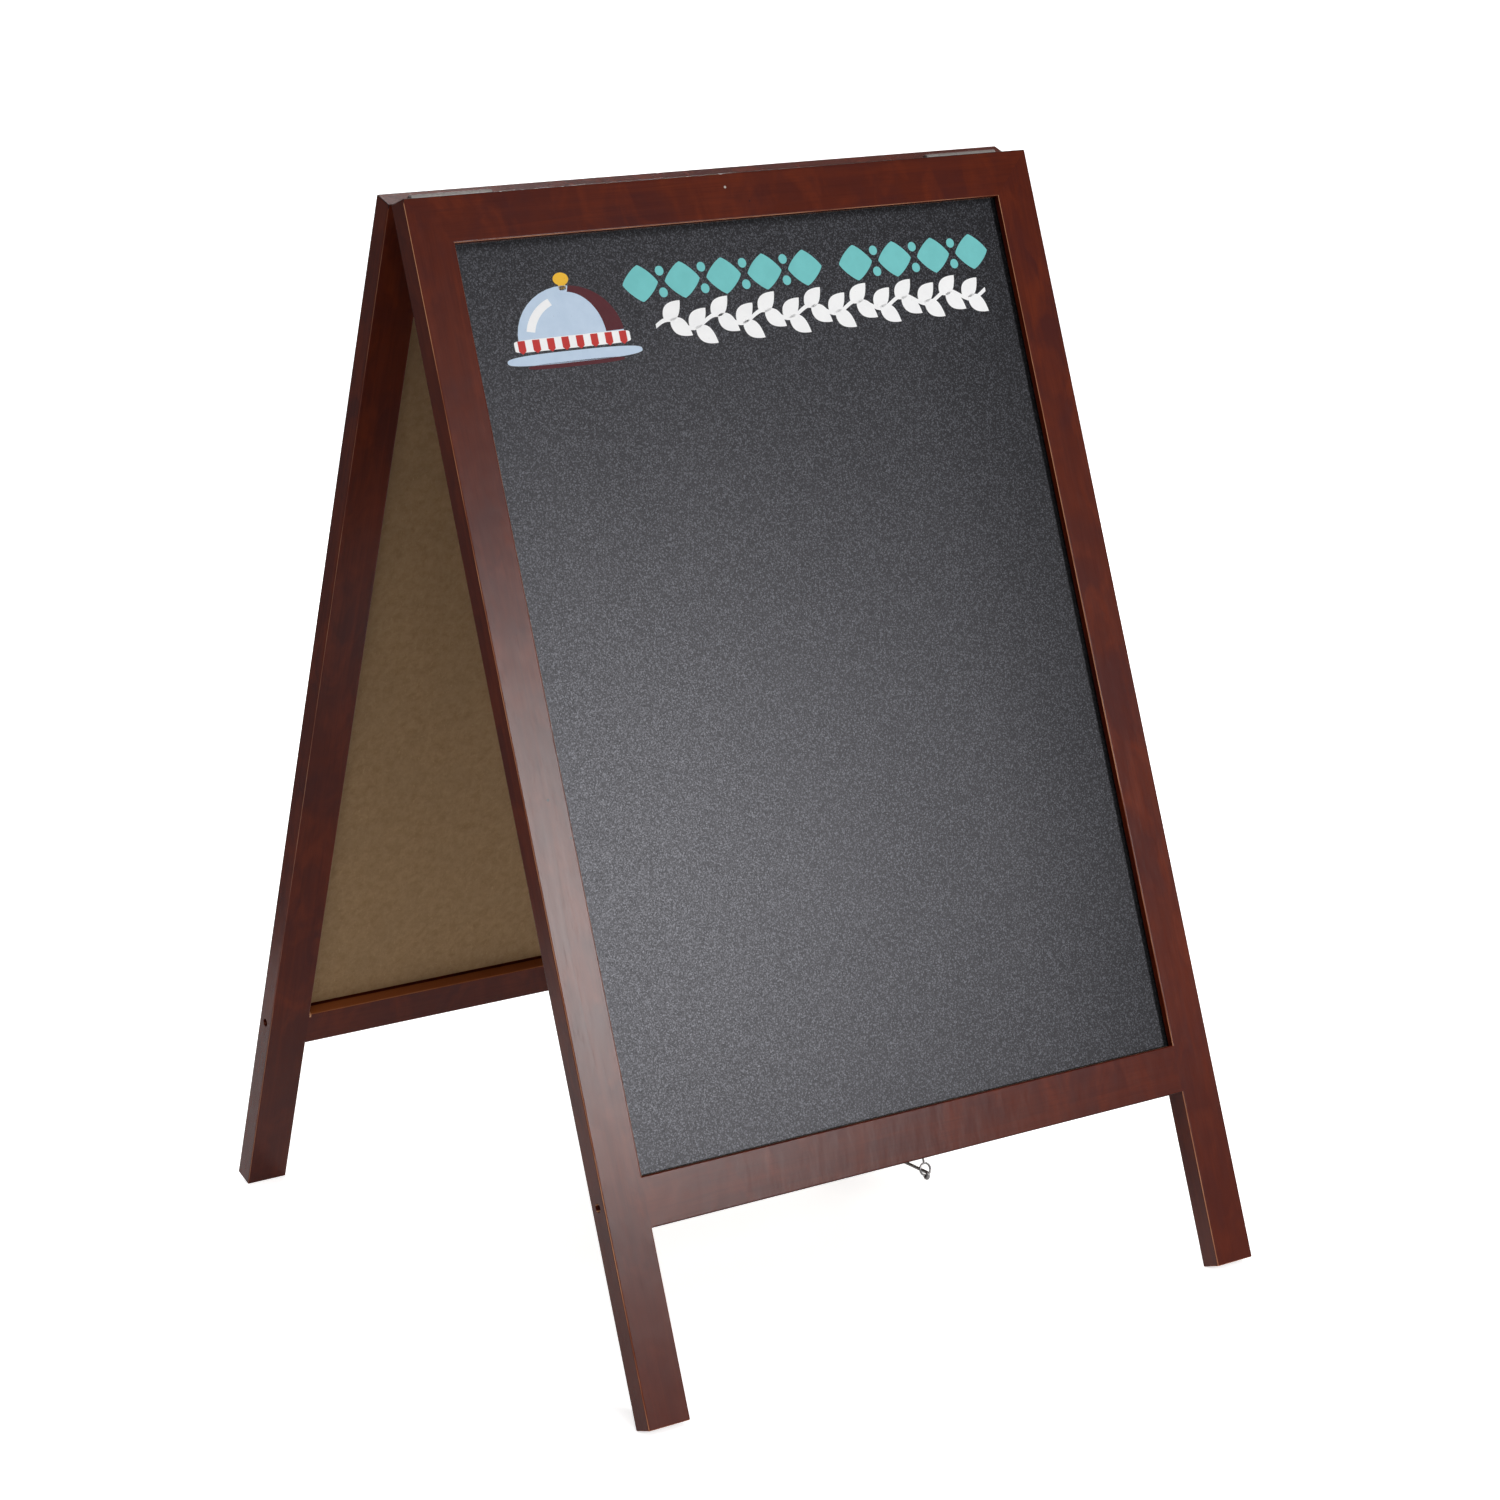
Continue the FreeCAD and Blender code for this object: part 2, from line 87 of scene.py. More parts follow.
# ---- material graphs --------------------------------------------------------------------
class Graph:
    """One material's node graph, built a node at a time."""

    def __init__(self, name):
        self.material = bpy.data.materials.new(name)
        self.material.use_nodes = True
        self.tree = self.material.node_tree
        self.tree.nodes.clear()
        self.shader = self.add("ShaderNodeBsdfPrincipled")
        output = self.add("ShaderNodeOutputMaterial")
        self.tree.links.new(self.shader.outputs["BSDF"], output.inputs["Surface"])

    def add(self, kind, **settings):
        node = self.tree.nodes.new(kind)
        for name, value in settings.items():
            setattr(node, name, value)
        return node

    def feed(self, socket, value):
        """Join an output to a socket, or set the socket's own value."""
        if isinstance(value, bpy.types.NodeSocket):
            self.tree.links.new(value, socket)
        else:
            socket.default_value = value

    def set_shader(self, **values):
        for name, value in values.items():
            self.feed(self.shader.inputs[name.replace("_", " ")], value)

    def math(self, operation, first, second=0.0, third=0.0):
        node = self.add("ShaderNodeMath", operation=operation)
        for socket, value in zip(node.inputs, (first, second, third)):
            self.feed(socket, value)
        return node.outputs[0]

    def remap(self, value, low, high, new_low=0.0, new_high=1.0, smooth=False):
        """Slide value from low..high to new_low..new_high, and hold it there outside."""
        kind = "SMOOTHSTEP" if smooth else "LINEAR"
        node = self.add("ShaderNodeMapRange", interpolation_type=kind)
        for socket, number in zip(node.inputs, (value, low, high, new_low, new_high)):
            self.feed(socket, number)
        return node.outputs["Result"]

    def stretch(self, vector, scale, location=(0.0, 0.0, 0.0), turn=(0.0, 0.0, 0.0)):
        """Vector scaled, then turned, then moved."""
        node = self.add("ShaderNodeMapping")
        self.feed(node.inputs["Vector"], vector)
        self.feed(node.inputs["Location"], location)
        self.feed(node.inputs["Rotation"], turn)
        self.feed(node.inputs["Scale"], scale)
        return node.outputs["Vector"]

    def noise(self, vector, scale, detail=2.0, roughness=0.5, distortion=0.0):
        node = self.add("ShaderNodeTexNoise")
        self.feed(node.inputs["Vector"], vector)
        self.feed(node.inputs["Scale"], scale)
        self.feed(node.inputs["Detail"], detail)
        self.feed(node.inputs["Roughness"], roughness)
        self.feed(node.inputs["Distortion"], distortion)
        return node.outputs["Fac"]

    def cells(self, vector, scale):
        """Irregular cells, each with its own random shade."""
        node = self.add("ShaderNodeTexVoronoi")
        self.feed(node.inputs["Vector"], vector)
        self.feed(node.inputs["Scale"], scale)
        return node.outputs["Color"]

    def mix(self, factor, first, second):
        """Colour first where factor is 0, second where it is 1."""
        node = self.add("ShaderNodeMix", data_type="RGBA")
        self.feed(node.inputs[0], factor)
        self.feed(node.inputs[6], first)
        self.feed(node.inputs[7], second)
        return node.outputs[2]

    def bump(self, height, strength, depth, normal=None):
        node = self.add("ShaderNodeBump")
        self.feed(node.inputs["Height"], height)
        self.feed(node.inputs["Strength"], strength)
        self.feed(node.inputs["Distance"], depth)
        if normal is not None:
            self.feed(node.inputs["Normal"], normal)
        return node.outputs["Normal"]

    def leaf_position(self, leaf):
        """Position in leaf axes, mm; it stays with the piece as the leaves fold."""
        spot = self.add("ShaderNodeTexCoord").outputs["Object"]
        scale = (1 / MM, 1 / MM, 1 / MM)
        return self.stretch(spot, scale, leaf_offset(leaf), leaf_turn(leaf))

    def split(self, vector):
        node = self.add("ShaderNodeSeparateXYZ")
        self.feed(node.inputs[0], vector)
        return node.outputs

    def rounded_edge_mask(self, leaf, flat=0.985, fully_rounded=0.86):
        """0 on the flat faces, rising to 1 on the rounded edges between them."""
        normal = self.add("ShaderNodeTexCoord").outputs["Normal"]
        turned = self.stretch(normal, (1.0, 1.0, 1.0), turn=leaf_turn(leaf))
        parts = [self.math("ABSOLUTE", part) for part in self.split(turned)]
        most = self.math("MAXIMUM", self.math("MAXIMUM", parts[0], parts[1]), parts[2])
        return self.remap(most, flat, fully_rounded, smooth=True)

    def spot(self, position, centre, radius, softness=0.3):
        """1 inside a small ball round centre (mm), 0 outside."""
        node = self.add("ShaderNodeVectorMath", operation="DISTANCE")
        self.feed(node.inputs[0], position)
        self.feed(node.inputs[1], centre)
        return self.remap(node.outputs["Value"], radius, radius * (1 - softness))


def rgb(red, green, blue):
    """sRGB numbers out of 255 as a linear colour."""
    linear = []
    for part in (red, green, blue):
        part /= 255
        linear.append(part / 12.92 if part <= 0.04045 else ((part + 0.055) / 1.055) ** 2.4)
    return (*linear, 1.0)


# ---- stained wood -----------------------------------------------------------------------
STAIN_DEEP = rgb(62, 18, 9)
STAIN_MID = rgb(84, 28, 11)
STAIN_WARM = rgb(104, 38, 13)
STAIN_PLUM = rgb(72, 25, 19)
PORE = rgb(36, 10, 7)
# Pale edge colours: partly rubbed lacquer, partly a painted highlight on the rounded edges.
BARE_EDGE_AND_HIGHLIGHT = rgb(214, 158, 118)
GLAZE_AND_HIGHLIGHT = rgb(116, 50, 25)
# Painted shade on the top edges and under the bottom rail's front.
EDGE_SHADE = rgb(46, 20, 14)
# Painted light: the rebate's ledge drawn brighter, as if lit from above.
LEDGE_LIGHT = rgb(150, 84, 44)


def worn_and_highlit_edges(g, parts, bottom_rail):
    """1 on the edges drawn pale, partly as rubbed lacquer and partly as a painted highlight; less
    along the top and outer right.
    """
    pale = g.remap(parts[2], -2.0, -4.0)
    pale = g.math("MULTIPLY", pale, g.remap(parts[0], 270.0, 268.0, 0.35, 1.0))
    if bottom_rail:
        pale = g.math("MULTIPLY", pale, g.remap(parts[1], 1.5, 3.0))
    return pale


def edge_shade_mask(g, parts, bottom_rail):
    """1 along the leaf's top edges, and under the bottom rail's front: rounded edges painted dark
    as shade.
    """
    grimy = g.remap(parts[2], -4.0, -2.0)
    if bottom_rail:
        under = g.math("MULTIPLY", g.remap(parts[2], -705.0, -710.0), g.remap(parts[1], 3.0, 1.5))
        grimy = g.math("MAXIMUM", grimy, under)
    return grimy


def rail_end_line(g, parts):
    """1 on a thin pale line down each end of the bottom rail, inside the easel."""
    end = g.math("GREATER_THAN", g.math("ABSOLUTE", parts[0]), RAIL_END_FROM)
    end = g.math("MULTIPLY", end, g.math("GREATER_THAN", parts[1], LEDGE_FROM))
    return g.math("MULTIPLY", end, g.math("GREATER_THAN", parts[2], -RAIL_END_TO))


def stained_wood(name, leaf, grain, seed, marks=(), bottom_rail=False):
    """Mahogany stain and satin lacquer; grain is the leaf axis that the grain follows.

    The wood is darker towards the feet. The edges are drawn pale, partly as rubbed lacquer and
    partly as a painted highlight; painted shade darkens the top edges and the bottom rail's lower
    front edge, and painted light brightens the bottom rail's rebate.
    """
    g = Graph(name)
    place = g.leaf_position(leaf)
    shift = (seed * 37.0, seed * 11.0, seed * 53.0)
    along = {"x": (0.04, 1.0, 1.0), "z": (1.0, 1.0, 0.04)}[grain]
    fine_along = {"x": (0.012, 1.0, 1.0), "z": (1.0, 1.0, 0.012)}[grain]
    streaky = g.stretch(place, along, shift)
    fibrous = g.stretch(place, fine_along, shift)
    clouds = g.noise(g.stretch(place, (1.0, 1.0, 1.0), shift), 0.014, 3.0, 0.6, 0.4)
    smudge = g.noise(g.stretch(place, (1.0, 1.0, 0.5), shift), 0.045, 3.0, 0.55, 0.8)
    bands = g.noise(streaky, 0.10, 3.0, 0.5, 0.6)
    streaks = g.noise(streaky, 0.55, 4.0, 0.6, 0.2)
    fibres = g.noise(fibrous, 2.2, 3.0, 0.6)
    pores = g.remap(g.noise(fibrous, 3.4, 2.0, 0.5), 0.66, 0.74)

    stain = g.mix(g.remap(clouds, 0.36, 0.58), STAIN_PLUM, STAIN_MID)
    stain = g.mix(g.remap(smudge, 0.48, 0.70, 0.0, 0.65), stain, STAIN_WARM)
    stain = g.mix(g.remap(bands, 0.50, 0.76, 0.0, 0.45), stain, STAIN_WARM)
    stain = g.mix(g.remap(streaks, 0.30, 0.52, 0.32, 0.0), stain, STAIN_DEEP)
    stain = g.mix(g.remap(fibres, 0.35, 0.62, 0.16, 0.0), stain, STAIN_DEEP)
    parts = g.split(place)
    # Darker towards the feet.
    stain = g.mix(g.remap(parts[2], -690.0, -740.0, 0.0, 0.45), stain, STAIN_DEEP)
    stain = g.mix(g.math("MULTIPLY", pores, 0.30), stain, PORE)

    edge = g.rounded_edge_mask(leaf)
    ridge = g.rounded_edge_mask(leaf, 0.88, 0.76)
    # Pale edge lines: partly rubbed lacquer, partly a painted highlight.
    pale = worn_and_highlit_edges(g, parts, bottom_rail)
    edge_patches = g.noise(streaky, 0.25, 4.0, 0.65)
    glaze_and_highlight = g.math("MULTIPLY", edge, g.remap(edge_patches, 0.30, 0.45, 0.25, 0.9))
    bare_and_highlight = g.math("MULTIPLY", ridge, g.remap(edge_patches, 0.38, 0.56, 0.15, 1.0))
    bare_and_highlight = g.math("MULTIPLY", bare_and_highlight, pale)
    # Painted shade on the top edges and under the bottom rail's front.
    grime_and_shade = g.math("MULTIPLY", edge, edge_shade_mask(g, parts, bottom_rail))
    colour = g.mix(g.math("MULTIPLY", glaze_and_highlight, pale), stain, GLAZE_AND_HIGHLIGHT)
    colour = g.mix(bare_and_highlight, colour, BARE_EDGE_AND_HIGHLIGHT)
    colour = g.mix(grime_and_shade, colour, EDGE_SHADE)
    for centre, radius, mark_colour in marks:
        colour = g.mix(g.spot(place, centre, radius), colour, mark_colour)
    if bottom_rail:
        # Painted light on the rebate's ledge.
        inside = g.math("GREATER_THAN", parts[1], LEDGE_FROM)
        inside = g.math("MULTIPLY", inside, g.math("GREATER_THAN", parts[2], -LEDGE_TO))
        colour = g.mix(g.math("MULTIPLY", inside, 0.8), colour, LEDGE_LIGHT)
        colour = g.mix(g.math("MULTIPLY", rail_end_line(g, parts), 0.8), colour, BARE_EDGE_AND_HIGHLIGHT)

    sheen = g.remap(g.noise(streaky, 0.3, 2.0), 0.3, 0.7, 0.254, 0.268)
    rough = g.math("ADD", sheen, g.math("MULTIPLY", bare_and_highlight, 0.12))
    rough = g.math("ADD", rough, g.math("MULTIPLY", grime_and_shade, 0.35))
    relief = g.math("MULTIPLY_ADD", pores, -0.6, g.math("MULTIPLY", fibres, 0.5))
    ripple = g.noise(g.stretch(place, (1.0, 1.0, 0.4), shift), 0.09, 2.0)
    waves = g.bump(ripple, 0.12, 0.0012)
    g.set_shader(Base_Color=colour, Roughness=rough, Normal=g.bump(relief, 0.08, 0.0002, waves))
    g.set_shader(Specular_IOR_Level=0.20)
    return g.material


# ---- writing face -----------------------------------------------------------------------
COATING_DARK = rgb(2, 2, 4)
COATING = rgb(16, 16, 20)
TOOTH_TIP = rgb(74, 76, 83)
GRAIN_TIP = rgb(88, 90, 97)
CHALK_HAZE = rgb(60, 60, 62)
# Painted shade along the writing face's rim.
RIM_SHADE = rgb(5, 5, 5)
COOL_GLOSS = (0.94, 0.93, 1.0, 1.0)


def painted_rim_shade(g, place):
    """1 on the writing face's painted shade along the frame: a band under the top, the right side
    and a thin line at the foot.

    The gloss and colour also fade a little over the right quarter as painted shade, so rim is
    0.25 there.
    """
    parts = g.split(place)
    top = g.remap(parts[2], -42.0, -35.0, 0.0, 0.6, smooth=True)
    right = g.remap(parts[0], 232.6, 234.6, smooth=True)
    fading = g.remap(parts[0], 130.0, 232.0, 0.0, 0.25)
    right = g.math("MAXIMUM", right, fading)
    foot = g.remap(parts[2], -692.7, -693.5)
    return g.math("MAXIMUM", g.math("MAXIMUM", top, right), foot)


def chalk_face(name, leaf, seed):
    """Matte black coating with a fine glittering tooth and a haze of wiped chalk."""
    g = Graph(name)
    place = g.leaf_position(leaf)
    moved = g.stretch(place, (1.0, 1.0, 1.0), (seed * 31.0, 0.0, seed * 17.0))
    grains = g.cells(moved, 1.15)
    tooth = g.noise(moved, 0.95, 2.0, 0.6)
    grit = g.noise(moved, 0.44, 2.0, 0.6, 0.5)
    haze = g.noise(g.stretch(moved, (1.0, 1.0, 0.6)), 0.012, 3.0, 0.55, 0.4)
    rim = painted_rim_shade(g, place)
    colour = g.mix(g.remap(tooth, 0.34, 0.66), COATING_DARK, COATING)
    colour = g.mix(g.remap(tooth, 0.58, 0.68, 0.0, 0.7), colour, TOOTH_TIP)
    colour = g.mix(g.remap(grains, 0.62, 0.90, 0.0, 0.7), colour, GRAIN_TIP)
    colour = g.mix(g.remap(haze, 0.45, 0.75, 0.0, 0.05), colour, CHALK_HAZE)
    # Painted shade along the frame: darker and less glossy.
    colour = g.mix(g.math("MULTIPLY", rim, 0.85), colour, RIM_SHADE)
    gloss = g.remap(grains, 0.1, 0.9, 0.28, 0.45)
    gloss = g.math("MULTIPLY", gloss, g.remap(rim, 0.0, 1.0, 1.0, 0.08))
    g.set_shader(Base_Color=colour, Specular_IOR_Level=gloss)
    g.set_shader(Roughness=g.remap(tooth, 0.35, 0.65, 0.42, 0.31))
    coarse = g.bump(grit, 0.12, 0.0005)
    g.set_shader(Normal=g.bump(tooth, 0.18, 0.0005, coarse))
    g.set_shader(Specular_Tint=COOL_GLOSS)
    return g.material


# ---- hardboard --------------------------------------------------------------------------
FIBRE = rgb(133, 106, 74)
FIBRE_PALE = rgb(154, 125, 89)
FIBRE_CLOUD = rgb(137, 112, 81)
STRAND_PALE = rgb(180, 150, 110)
STRAND_DARK = rgb(112, 86, 58)


def hardboard(name, leaf, seed):
    """Pressed brown fibre: mottled, with darker and paler strands."""
    g = Graph(name)
    place = g.leaf_position(leaf)
    moved = g.stretch(place, (1.0, 1.0, 1.0), (seed * 29.0, 0.0, seed * 41.0))
    mottle = g.noise(moved, 0.16, 5.0, 0.65, 0.3)
    clouds = g.noise(moved, 0.02, 2.0)
    strands = g.noise(g.stretch(moved, (1.0, 1.0, 0.35)), 0.9, 4.0, 0.7, 1.2)
    cross = g.noise(g.stretch(moved, (0.35, 1.0, 1.0)), 0.9, 4.0, 0.7, 1.2)
    colour = g.mix(g.remap(mottle, 0.3, 0.7), FIBRE, FIBRE_PALE)
    colour = g.mix(g.remap(clouds, 0.35, 0.65, 0.0, 0.3), colour, FIBRE_CLOUD)
    colour = g.mix(g.remap(strands, 0.58, 0.72, 0.0, 0.5), colour, STRAND_PALE)
    colour = g.mix(g.remap(cross, 0.60, 0.74, 0.0, 0.5), colour, STRAND_DARK)
    height = g.math("ADD", strands, cross)
    g.set_shader(Base_Color=colour, Roughness=g.remap(mottle, 0.3, 0.7, 0.82, 0.68))
    g.set_shader(Normal=g.bump(height, 0.3, 0.0003))
    g.set_shader(Specular_IOR_Level=0.3)
    return g.material


# ---- dowels and metal -------------------------------------------------------------------
BEECH = rgb(178, 138, 96)
BEECH_PALE = rgb(208, 170, 124)
BEECH_FLECK = rgb(140, 98, 62)
PLATE_ZINC = (0.52, 0.49, 0.47, 1.0)
SCREW_ZINC = (0.58, 0.57, 0.54, 1.0)
WIRE_ZINC = (0.25, 0.24, 0.24, 1.0)
KNUCKLE_TOP_BROWN = rgb(84, 44, 34)


def shaded(colour, factor):
    """Colour made brighter or darker."""
    return (*(part * factor for part in colour[:3]), 1.0)


def beech(name):
    """Bare pale wood with fine fibres and brown flecks."""
    g = Graph(name)
    spot = g.add("ShaderNodeTexCoord").outputs["Object"]
    fibres = g.noise(g.stretch(spot, (60.0, 900.0, 900.0)), 1.0, 4.0, 0.6)
    flecks = g.remap(g.noise(spot, 2600.0, 1.0), 0.62, 0.70)
    colour = g.mix(g.remap(fibres, 0.3, 0.7), BEECH, BEECH_PALE)
    colour = g.mix(g.math("MULTIPLY", flecks, 0.5), colour, BEECH_FLECK)
    g.set_shader(Base_Color=colour, Roughness=g.remap(fibres, 0.3, 0.7, 0.72, 0.58))
    g.set_shader(Normal=g.bump(fibres, 0.3, 0.0002))
    return g.material


def zinc(name, tone, rough, brown_top=False):
    """Zinc plate with a faint spangle, drawn lines and dull grime.

    With brown_top, what faces up is drawn a matte, non-metal brown.
    """
    g = Graph(name)
    coordinates = g.add("ShaderNodeTexCoord").outputs
    spot = coordinates["Object"]
    spangle = g.cells(spot, 700.0)
    lines = g.noise(g.stretch(spot, (300.0, 4000.0, 4000.0)), 1.0, 3.0, 0.6)
    grime_and_shade = g.noise(spot, 220.0, 4.0, 0.6)
    colour = g.mix(g.remap(spangle, 0.0, 1.0, 0.0, 0.5), tone, shaded(tone, 1.15))
    colour = g.mix(g.remap(grime_and_shade, 0.52, 0.72, 0.0, 0.7), colour, shaded(tone, 0.55))
    roughness = g.math("MULTIPLY_ADD", lines, 0.18, g.remap(grime_and_shade, 0.4, 0.7, rough, rough + 0.2))
    metallic = 1.0
    # What faces up is drawn matte brown, not metal.
    if brown_top:
        upward = g.remap(g.split(coordinates["Normal"])[2], 0.80, 0.92)
        colour = g.mix(upward, colour, KNUCKLE_TOP_BROWN)
        roughness = g.math("MAXIMUM", roughness, g.math("MULTIPLY", upward, 0.5))
        metallic = g.math("SUBTRACT", 1.0, upward)
    g.set_shader(Base_Color=colour, Roughness=roughness, Metallic=metallic)
    g.set_shader(Normal=g.bump(lines, 0.12, 0.00008))
    return g.material


# ---- dressing the CAD nodes -------------------------------------------------------------
SPECK_PALE = rgb(190, 180, 170)
SPECK_DARK = rgb(40, 22, 20)
# Small marks on the front leaf: centre in leaf axes, radius in mm, colour.
FRONT_MARKS = {
    "top_rail": [((-6.8, 0.0, -10.3), 1.1, SPECK_PALE), ((12.0, 0.0, -22.0), 0.7, SPECK_DARK)],
    "left_stile": [((-253.0, 0.0, -427.0), 1.2, SPECK_DARK),
                   ((-241.0, 0.0, -455.5), 1.2, SPECK_DARK)],
}
GRAIN_AXES = {"left_stile": "z", "right_stile": "z", "top_rail": "x", "bottom_rail": "x"}


def dress(node, material):
    NODES[node].data.materials.clear()
    NODES[node].data.materials.append(material)


def dress_leaf(leaf, seed):
    """Wood, writing face and hardboard of one leaf; seed keeps the two leaves' grain apart."""
    marks = FRONT_MARKS if leaf == "front" else {}
    for step, (member, grain) in enumerate(GRAIN_AXES.items()):
        name = leaf + "_" + member
        wood = stained_wood("wood_" + name, leaf, grain, seed + 3.1 * step,
                            marks.get(member, ()), member == "bottom_rail")
        dress(name, wood)
    dress(leaf + "_chalk_sheet", chalk_face("chalk_" + leaf, leaf, seed))
    dress(leaf + "_backing_board", hardboard("hardboard_" + leaf, leaf, seed))


def dress_cad():
    dress_leaf("front", 1.0)
    dress_leaf("rear", 20.0)
    dowel = beech("beech_dowel")
    plate = zinc("zinc_plate", PLATE_ZINC, 0.32, brown_top=True)
    screw = zinc("zinc_screw", SCREW_ZINC, 0.3)
    wire = zinc("zinc_wire", WIRE_ZINC, 0.16)
    finishes = {"corner_dowels": dowel, "rail_dowels": dowel, "rail_screws": screw,
                "hinge_screws": screw, "stay_eye": wire, "hinge_pin": wire,
                "_plate": plate, "stay_rod": wire}
    for node in NODES:
        for ending, material in finishes.items():
            if node.endswith(ending):
                dress(node, material)


# ---- heading: a plain generic print on the front writing face ----------------------------
CHALK_BACK = 5.1                # prints start just inside the writing sheet
LAYER = 0.04                    # each layer of print stands this much prouder
INK_GAP = rgb(34, 34, 36)       # what shows in the print's pinholes

LOZENGE_DOWN = 74.0             # middle of the row
LOZENGE_STEP = 36.0
LOZENGE_GROUPS = ((-92.0, 5), (98.0, 4))        # x of the first one, and how many
BEAD_DOWNS = (66.0, 82.0)
BEAD_SIZE = 3.6

STEM_START = -86.0
STEM_END = 212.0
STEM_DOWN = 106.0
STEM_WAVE = 42.0                # length of one wave
STEM_RISE = 4.0
STEM_HALF = 1.6                 # half its thickness
STEM_STEPS = 150
LEAF_PAIRS = 14
LEAF_FIRST = 8.0                # from the stem's start
LEAF_STEP = 20.6
LEAF_STAGGER = 5.0              # lower leaf, after the upper one
LEAF_LENGTH = 21.0
LEAF_WIDTH = 12.5

DISH_X = -157.0
DISH_DOWN = 114.0
DOME_DOWN = DISH_DOWN - 6.0     # foot of the dome
DOME_WIDE = 44.0                # half its width
DOME_TALL = 38.0
STRIPES = 8
STRIPE_STEP = 12.0


def print_ink(name, colour, thin):
    """Opaque print: slightly uneven, with pinholes where the board's tooth shows."""
    g = Graph(name)
    place = g.leaf_position("front")
    cloud = g.noise(place, 0.08, 3.0, 0.6)
    tooth = g.noise(place, 0.9, 3.0, 0.6)
    shade = g.mix(g.remap(cloud, 0.35, 0.65, 0.0, 0.6), colour, thin)
    shade = g.mix(g.remap(tooth, 0.70, 0.78, 0.0, 0.6), shade, INK_GAP)
    g.set_shader(Base_Color=shade, Roughness=g.remap(tooth, 0.3, 0.7, 0.62, 0.48))
    g.set_shader(Normal=g.bump(tooth, 0.25, 0.0003), Specular_IOR_Level=0.3)
    return g.material


def printed(name, outlines, layer, material):
    """Thin closed prisms on the front board, one for each outline of (x, distance down)."""
    shape = bmesh.new()
    face_y = CHALK_Y - LAYER * layer
    for outline in outlines:
        near = [shape.verts.new((x, face_y, -down)) for x, down in outline]
        far = [shape.verts.new((x, CHALK_BACK, -down)) for x, down in outline]
        shape.faces.new(near)
        shape.faces.new(far[::-1])
        for here, after in zip(range(len(near)), [*range(1, len(near)), 0]):
            shape.faces.new((near[after], near[here], far[here], far[after]))
    bmesh.ops.recalc_face_normals(shape, faces=shape.faces)
    mesh = bpy.data.meshes.new(name)
    shape.to_mesh(mesh)
    shape.free()
    mesh.transform(leaf_to_world("front"))
    mesh.materials.append(material)
    piece = bpy.data.objects.new(name, mesh)
    bpy.context.scene.collection.objects.link(piece)
    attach(piece, "front_leaf")


def blob(x, down, half_width, half_height, power=2.0, steps=48):
    """Superellipse: power 1 is a lozenge, 2 an ellipse and 5 a rounded bar."""
    outline = []
    for step in range(steps):
        turn = 2 * math.pi * step / steps
        across, up = math.cos(turn), math.sin(turn)
        outline.append((x + half_width * math.copysign(abs(across) ** (2 / power), across),
                        down - half_height * math.copysign(abs(up) ** (2 / power), up)))
    return outline


def pointed_leaf(x, down, length, width, angle, steps=14):
    """Leaf that starts at (x, down) and points along angle, counted up from +x."""
    lean = math.radians(angle)
    edge = []
    for side, order in ((1, range(steps + 1)), (-1, range(steps - 1, 0, -1))):
        for step in order:
            part = step / steps
            along = length * part
            out = side * width / 2 * math.sin(math.pi * part ** 0.8) ** 0.9
            edge.append((x + along * math.cos(lean) - out * math.sin(lean),
                         down - along * math.sin(lean) - out * math.cos(lean)))
    return edge


def arc(x, down, half_width, half_height, start, end, steps=20):
    """Part of an ellipse, between two angles."""
    edge = []
    for step in range(steps + 1):
        turn = math.radians(start + (end - start) * step / steps)
        edge.append((x + half_width * math.cos(turn), down - half_height * math.sin(turn)))
    return edge


def dome_band(outer, inner, start, end):
    """Part of an elliptical ring round the dome's foot; outer and inner are (wide, tall)."""
    far = arc(DISH_X, DOME_DOWN, DOME_WIDE * outer[0], DOME_TALL * outer[1], start, end)
    near = arc(DISH_X, DOME_DOWN, DOME_WIDE * inner[0], DOME_TALL * inner[1], start, end)
    return far + near[::-1]


def lozenge_row():
    """Bold lozenges in two groups, with a pair of beads between neighbours."""
    teal = print_ink("ink_teal", rgb(116, 200, 200), rgb(108, 190, 190))
    lozenges = []
    beads = []
    for first, count in LOZENGE_GROUPS:
        for step in range(count):
            x = first + LOZENGE_STEP * step
            lozenges.append(blob(x, LOZENGE_DOWN, 15.0, 13.5, 1.25))
            if step < count - 1:
                between = x + LOZENGE_STEP / 2
                beads += [blob(between, down, BEAD_SIZE, BEAD_SIZE) for down in BEAD_DOWNS]
    printed("heading_lozenges", lozenges, 2, teal)
    printed("heading_beads", beads, 2, teal)


def stem_down(x):
    """Middle of the wavy stem at x."""
    return STEM_DOWN - STEM_RISE * math.sin(2 * math.pi * (x - STEM_START) / STEM_WAVE)


def leaf_garland():
    """Wavy stem with leaves above and below it."""
    white = print_ink("ink_white", rgb(250, 250, 250), rgb(244, 244, 245))
    upper = []
    lower = []
    for step in range(STEM_STEPS + 1):
        x = STEM_START + (STEM_END - STEM_START) * step / STEM_STEPS
        upper.append((x, stem_down(x) - STEM_HALF))
        lower.append((x, stem_down(x) + STEM_HALF))
    printed("garland_stem", [upper + lower[::-1]], 1, white)
    leaves = []
    for step in range(LEAF_PAIRS):
        x = STEM_START + LEAF_FIRST + LEAF_STEP * step
        down = stem_down(x)
        leaves.append(pointed_leaf(x, down, LEAF_LENGTH, LEAF_WIDTH, 40.0))
        leaves.append(pointed_leaf(x + LEAF_STAGGER, down, LEAF_LENGTH, LEAF_WIDTH, -38.0))
    printed("garland_leaves", leaves, 2, white)


def dish_stripe(left):
    """Upright stripe of the dish's band, with a pointed foot."""
    top = DISH_DOWN - 7.5
    right = left + STRIPE_STEP / 2
    foot = (left + STRIPE_STEP / 4, DISH_DOWN + 2.2)
    return [(left, top), (right, top), (right, DISH_DOWN), foot, (left, DISH_DOWN)]


